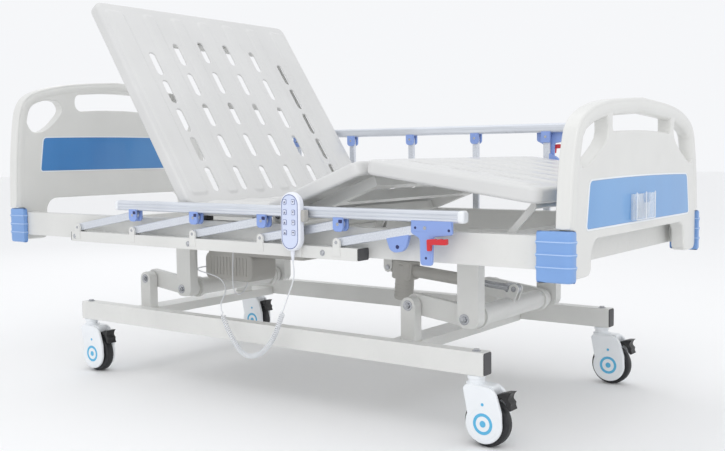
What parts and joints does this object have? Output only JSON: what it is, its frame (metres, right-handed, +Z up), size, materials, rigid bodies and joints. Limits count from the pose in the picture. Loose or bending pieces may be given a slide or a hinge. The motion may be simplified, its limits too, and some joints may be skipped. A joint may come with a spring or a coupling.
{
  "type": "adjustable hospital bed",
  "caption": "Hospital bed on casters with lifting backrest, knee section and height, slotted decks, blue inset end boards, folding side guards and a corded handset.",
  "frame": {"origin": "middle of the bed on the floor", "axes": "+X from head to foot, +Y away from the handset side, +Z up"},
  "size_m": [2.21, 1.05, 1.2484],
  "materials": {
    "frame_paint": "warm white powder coat, fine texture, satin",
    "deck_plastic": "blow-moulded polyethylene, matte",
    "board_plastic": "moulded ABS, soft gloss",
    "panel_blue": "inset laminate, glossy",
    "bumper_blue": "moulded bumper, satin",
    "guard_blue": "moulded fittings, satin",
    "aluminium": "anodised extrusion, satin",
    "bright_steel": "ground rod",
    "red_plastic": "release lever",
    "caster_cover": "white twin cover",
    "tyre": "polyurethane tread",
    "black_plastic": "brake pedal",
    "motor_plastic": "actuator housing, light grey",
    "clear_plastic": "clear chart pocket",
    "handset_plastic": "handset shell",
    "cord_plastic": "pvc cord"
  },
  "bodies": {
    "base": {"base_frame": "frame_paint"},
    "caster_head_near": {"caster_housing_head_near": "caster_cover"},
    "wheel_head_near": {"caster_wheel_head_near": "tyre"},
    "pedal_head_near": {"caster_pedal_head_near": "black_plastic"},
    "caster_head_far": {"caster_housing_head_far": "caster_cover"},
    "wheel_head_far": {"caster_wheel_head_far": "tyre"},
    "pedal_head_far": {"caster_pedal_head_far": "black_plastic"},
    "caster_foot_near": {"caster_housing_foot_near": "caster_cover"},
    "wheel_foot_near": {"caster_wheel_foot_near": "tyre"},
    "pedal_foot_near": {"caster_pedal_foot_near": "black_plastic"},
    "caster_foot_far": {"caster_housing_foot_far": "caster_cover"},
    "wheel_foot_far": {"caster_wheel_foot_far": "tyre"},
    "pedal_foot_far": {"caster_pedal_foot_far": "black_plastic"},
    "head_arm": {"head_lift_arm": "frame_paint"},
    "foot_arm": {"foot_lift_arm": "frame_paint"},
    "bed": {"bed_frame": "frame_paint", "seat_deck": "deck_plastic", "control_box": "motor_plastic", "handset": "handset_plastic", "cord_upper": "cord_plastic", "cord_curl": "cord_plastic", "cord_lower": "cord_plastic", "motor_lead": "cord_plastic", "guard_base_near": "frame_paint", "guard_base_far": "frame_paint", "bumper_head_near": "bumper_blue", "bumper_head_far": "bumper_blue", "bumper_foot_near": "bumper_blue", "bumper_foot_far": "bumper_blue"},
    "backrest": {"backrest_deck": "deck_plastic", "backrest_frame": "frame_paint"},
    "thigh": {"thigh_deck": "deck_plastic", "thigh_frame": "frame_paint"},
    "leg": {"leg_deck": "deck_plastic"},
    "leg_prop": {"leg_link": "frame_paint"},
    "headboard": {"headboard": "board_plastic", "headboard_panel": "panel_blue"},
    "footboard": {"footboard": "board_plastic", "footboard_panel": "panel_blue", "chart_holder": "clear_plastic"},
    "post_near_1": {"guard_post_near_1": "aluminium"},
    "post_near_2": {"guard_post_near_2": "aluminium"},
    "post_near_3": {"guard_post_near_3": "aluminium"},
    "post_near_4": {"guard_post_near_4": "aluminium"},
    "latch_post_near": {"guard_latch_post_near": "guard_blue"},
    "rail_near": {"guard_rail_near": "aluminium"},
    "release_near": {"guard_lever_near": "red_plastic"},
    "post_far_1": {"guard_post_far_1": "aluminium"},
    "post_far_2": {"guard_post_far_2": "aluminium"},
    "post_far_3": {"guard_post_far_3": "aluminium"},
    "post_far_4": {"guard_post_far_4": "aluminium"},
    "latch_post_far": {"guard_latch_post_far": "guard_blue"},
    "rail_far": {"guard_rail_far": "aluminium"},
    "release_far": {"guard_lever_far": "red_plastic"},
    "back_motor": {"backrest_actuator": "motor_plastic"},
    "back_rod": {"backrest_rod": "bright_steel"},
    "knee_motor": {"knee_actuator": "motor_plastic"},
    "knee_rod": {"knee_rod": "bright_steel"},
    "lift_motor": {"hilo_actuator": "motor_plastic"},
    "lift_rod": {"hilo_rod": "bright_steel"}
  },
  "joints": [
    {"name": "swivel_head_near", "type": "hinge", "parent": "base", "child": "caster_head_near", "pos_m": [-0.728, -0.404, 0.16], "axis": [0, 0, 1], "continuous": true},
    {"name": "wheel_head_near", "type": "hinge", "parent": "caster_head_near", "child": "wheel_head_near", "pos_m": [-0.694, -0.404, 0.0625], "axis": [0, 1, 0], "continuous": true},
    {"name": "brake_head_near", "type": "hinge", "parent": "caster_head_near", "child": "pedal_head_near", "pos_m": [-0.662, -0.404, 0.128], "axis": [0, 1, 0], "range_deg": [0, 12]},
    {"name": "swivel_head_far", "type": "hinge", "parent": "base", "child": "caster_head_far", "pos_m": [-0.728, 0.404, 0.16], "axis": [0, 0, 1], "continuous": true},
    {"name": "wheel_head_far", "type": "hinge", "parent": "caster_head_far", "child": "wheel_head_far", "pos_m": [-0.694, 0.404, 0.0625], "axis": [0, 1, 0], "continuous": true},
    {"name": "brake_head_far", "type": "hinge", "parent": "caster_head_far", "child": "pedal_head_far", "pos_m": [-0.662, 0.404, 0.128], "axis": [0, 1, 0], "range_deg": [0, 12]},
    {"name": "swivel_foot_near", "type": "hinge", "parent": "base", "child": "caster_foot_near", "pos_m": [0.81, -0.404, 0.16], "axis": [0, 0, 1], "continuous": true},
    {"name": "wheel_foot_near", "type": "hinge", "parent": "caster_foot_near", "child": "wheel_foot_near", "pos_m": [0.844, -0.404, 0.0625], "axis": [0, 1, 0], "continuous": true},
    {"name": "brake_foot_near", "type": "hinge", "parent": "caster_foot_near", "child": "pedal_foot_near", "pos_m": [0.876, -0.404, 0.128], "axis": [0, 1, 0], "range_deg": [0, 12]},
    {"name": "swivel_foot_far", "type": "hinge", "parent": "base", "child": "caster_foot_far", "pos_m": [0.81, 0.404, 0.16], "axis": [0, 0, 1], "continuous": true},
    {"name": "wheel_foot_far", "type": "hinge", "parent": "caster_foot_far", "child": "wheel_foot_far", "pos_m": [0.844, 0.404, 0.0625], "axis": [0, 1, 0], "continuous": true},
    {"name": "brake_foot_far", "type": "hinge", "parent": "caster_foot_far", "child": "pedal_foot_far", "pos_m": [0.876, 0.404, 0.128], "axis": [0, 1, 0], "range_deg": [0, 12]},
    {"name": "bed_height", "type": "hinge", "parent": "base", "child": "head_arm", "pos_m": [-0.611, 0, 0.31], "axis": [0, -1, 0], "range_deg": [-18, 62]},
    {"name": "bed_level", "type": "hinge", "parent": "head_arm", "child": "bed", "pos_m": [-0.4254, 0, 0.287], "axis": [0, -1, 0], "range_deg": [-62, 18]},
    {"name": "foot_arm_swing", "type": "hinge", "parent": "base", "child": "foot_arm", "pos_m": [0.504, 0, 0.31], "axis": [0, -1, 0], "range_deg": [-18, 62]},
    {"name": "backrest_lift", "type": "hinge", "parent": "bed", "child": "backrest", "pos_m": [-0.18, 0, 0.565], "axis": [0, 1, 0], "range_deg": [-57, 13]},
    {"name": "knee_lift", "type": "hinge", "parent": "bed", "child": "thigh", "pos_m": [0.15, 0, 0.565], "axis": [0, -1, 0], "range_deg": [-20.5, 14.5]},
    {"name": "knee_bend", "type": "hinge", "parent": "thigh", "child": "leg", "pos_m": [0.49657, 0, 0.69458], "axis": [0, -1, 0], "range_deg": [-20.2, 28.5]},
    {"name": "leg_prop_swing", "type": "hinge", "parent": "bed", "child": "leg_prop", "pos_m": [0.864, 0, 0.502], "axis": [0, -1, 0], "range_deg": [-29.1, 20.6]},
    {"name": "headboard_lift", "type": "slide", "parent": "bed", "child": "headboard", "axis": [0, 0, 1], "range_m": [0, 0.12]},
    {"name": "footboard_lift", "type": "slide", "parent": "bed", "child": "footboard", "axis": [0, 0, 1], "range_m": [0, 0.12]},
    {"name": "back_drive_tilt", "type": "hinge", "parent": "bed", "child": "back_motor", "pos_m": [-0.455, 0, 0.372], "axis": [0, -1, 0], "range_deg": [-5.7, 1.34]},
    {"name": "back_drive_stroke", "type": "slide", "parent": "back_motor", "child": "back_rod", "axis": [0.8891, 0, 0.4578], "range_m": [-0.01403, 0.06082]},
    {"name": "knee_drive_tilt", "type": "hinge", "parent": "bed", "child": "knee_motor", "pos_m": [0.52, 0.095, 0.45], "axis": [0, -1, 0], "range_deg": [-0.288, 0.387]},
    {"name": "knee_drive_stroke", "type": "slide", "parent": "knee_motor", "child": "knee_rod", "axis": [-0.9954, 0, 0.0955], "range_m": [-0.02021, 0.02849]},
    {"name": "lift_drive_tilt", "type": "hinge", "parent": "bed", "child": "lift_motor", "pos_m": [0.265, 0, 0.38], "axis": [0, -1, 0], "range_deg": [-0.93, 0.31]},
    {"name": "lift_drive_stroke", "type": "slide", "parent": "lift_motor", "child": "lift_rod", "axis": [0.9965, 0, -0.0833], "range_m": [-0.06231, 0.01823]},
    {"name": "guard_fold_near", "type": "hinge", "parent": "bed", "child": "post_near_1", "pos_m": [-0.66, -0.49, 0.507], "axis": [0, -1, 0], "range_deg": [0, 80.1]},
    {"name": "post_swing_near_2", "type": "hinge", "parent": "bed", "child": "post_near_2", "pos_m": [-0.385, -0.49, 0.507], "axis": [0, -1, 0], "range_deg": [0, 80.1]},
    {"name": "post_swing_near_3", "type": "hinge", "parent": "bed", "child": "post_near_3", "pos_m": [-0.11, -0.49, 0.507], "axis": [0, -1, 0], "range_deg": [0, 80.1]},
    {"name": "post_swing_near_4", "type": "hinge", "parent": "bed", "child": "post_near_4", "pos_m": [0.165, -0.49, 0.507], "axis": [0, -1, 0], "range_deg": [0, 80.1]},
    {"name": "post_swing_near_5", "type": "hinge", "parent": "bed", "child": "latch_post_near", "pos_m": [0.44, -0.49, 0.507], "axis": [0, -1, 0], "range_deg": [0, 80.1]},
    {"name": "rail_level_near", "type": "hinge", "parent": "post_near_1", "child": "rail_near", "pos_m": [-0.37924, -0.49, 0.556], "axis": [0, -1, 0], "range_deg": [-80.1, 0]},
    {"name": "guard_release_near", "type": "hinge", "parent": "rail_near", "child": "release_near", "pos_m": [0.74476, -0.511, 0.522], "axis": [0, 1, 0], "range_deg": [0, 12], "stiffness_Nm_per_rad": 0.4},
    {"name": "guard_fold_far", "type": "hinge", "parent": "bed", "child": "post_far_1", "pos_m": [-0.525, 0.49, 0.507], "axis": [0, -1, 0], "range_deg": [-80.1, 0]},
    {"name": "post_swing_far_2", "type": "hinge", "parent": "bed", "child": "post_far_2", "pos_m": [-0.25, 0.49, 0.507], "axis": [0, -1, 0], "range_deg": [-80.1, 0]},
    {"name": "post_swing_far_3", "type": "hinge", "parent": "bed", "child": "post_far_3", "pos_m": [0.025, 0.49, 0.507], "axis": [0, -1, 0], "range_deg": [-80.1, 0]},
    {"name": "post_swing_far_4", "type": "hinge", "parent": "bed", "child": "post_far_4", "pos_m": [0.3, 0.49, 0.507], "axis": [0, -1, 0], "range_deg": [-80.1, 0]},
    {"name": "post_swing_far_5", "type": "hinge", "parent": "bed", "child": "latch_post_far", "pos_m": [0.575, 0.49, 0.507], "axis": [0, -1, 0], "range_deg": [-80.1, 0]},
    {"name": "rail_level_far", "type": "hinge", "parent": "post_far_1", "child": "rail_far", "pos_m": [-0.525, 0.49, 0.792], "axis": [0, -1, 0], "range_deg": [0, 80.1]},
    {"name": "guard_release_far", "type": "hinge", "parent": "rail_far", "child": "release_far", "pos_m": [0.599, 0.511, 0.758], "axis": [0, 1, 0], "range_deg": [0, 12], "stiffness_Nm_per_rad": 0.4}
  ],
  "couplings": [
    {"joint": "bed_level", "follows": "bed_height", "ratio": -1},
    {"joint": "foot_arm_swing", "follows": "bed_height", "ratio": 1},
    {"joint": "knee_bend", "follows": "knee_lift", "ratio": -1.39},
    {"joint": "leg_prop_swing", "follows": "knee_lift", "ratio": 1.4166},
    {"joint": "back_drive_tilt", "follows": "backrest_lift", "ratio": 0.0992},
    {"joint": "back_drive_stroke", "follows": "backrest_lift", "m_per_rad": -0.06093},
    {"joint": "knee_drive_tilt", "follows": "knee_lift", "ratio": -0.01644},
    {"joint": "knee_drive_stroke", "follows": "knee_lift", "m_per_rad": -0.07907},
    {"joint": "lift_drive_tilt", "follows": "bed_height", "ratio": -0.01423},
    {"joint": "lift_drive_stroke", "follows": "bed_height", "m_per_rad": -0.0574},
    {"joint": "post_swing_near_2", "follows": "guard_fold_near", "ratio": 1},
    {"joint": "post_swing_near_3", "follows": "guard_fold_near", "ratio": 1},
    {"joint": "post_swing_near_4", "follows": "guard_fold_near", "ratio": 1},
    {"joint": "post_swing_near_5", "follows": "guard_fold_near", "ratio": 1},
    {"joint": "rail_level_near", "follows": "guard_fold_near", "ratio": -1},
    {"joint": "post_swing_far_2", "follows": "guard_fold_far", "ratio": 1},
    {"joint": "post_swing_far_3", "follows": "guard_fold_far", "ratio": 1},
    {"joint": "post_swing_far_4", "follows": "guard_fold_far", "ratio": 1},
    {"joint": "post_swing_far_5", "follows": "guard_fold_far", "ratio": 1},
    {"joint": "rail_level_far", "follows": "guard_fold_far", "ratio": -1}
  ]
}
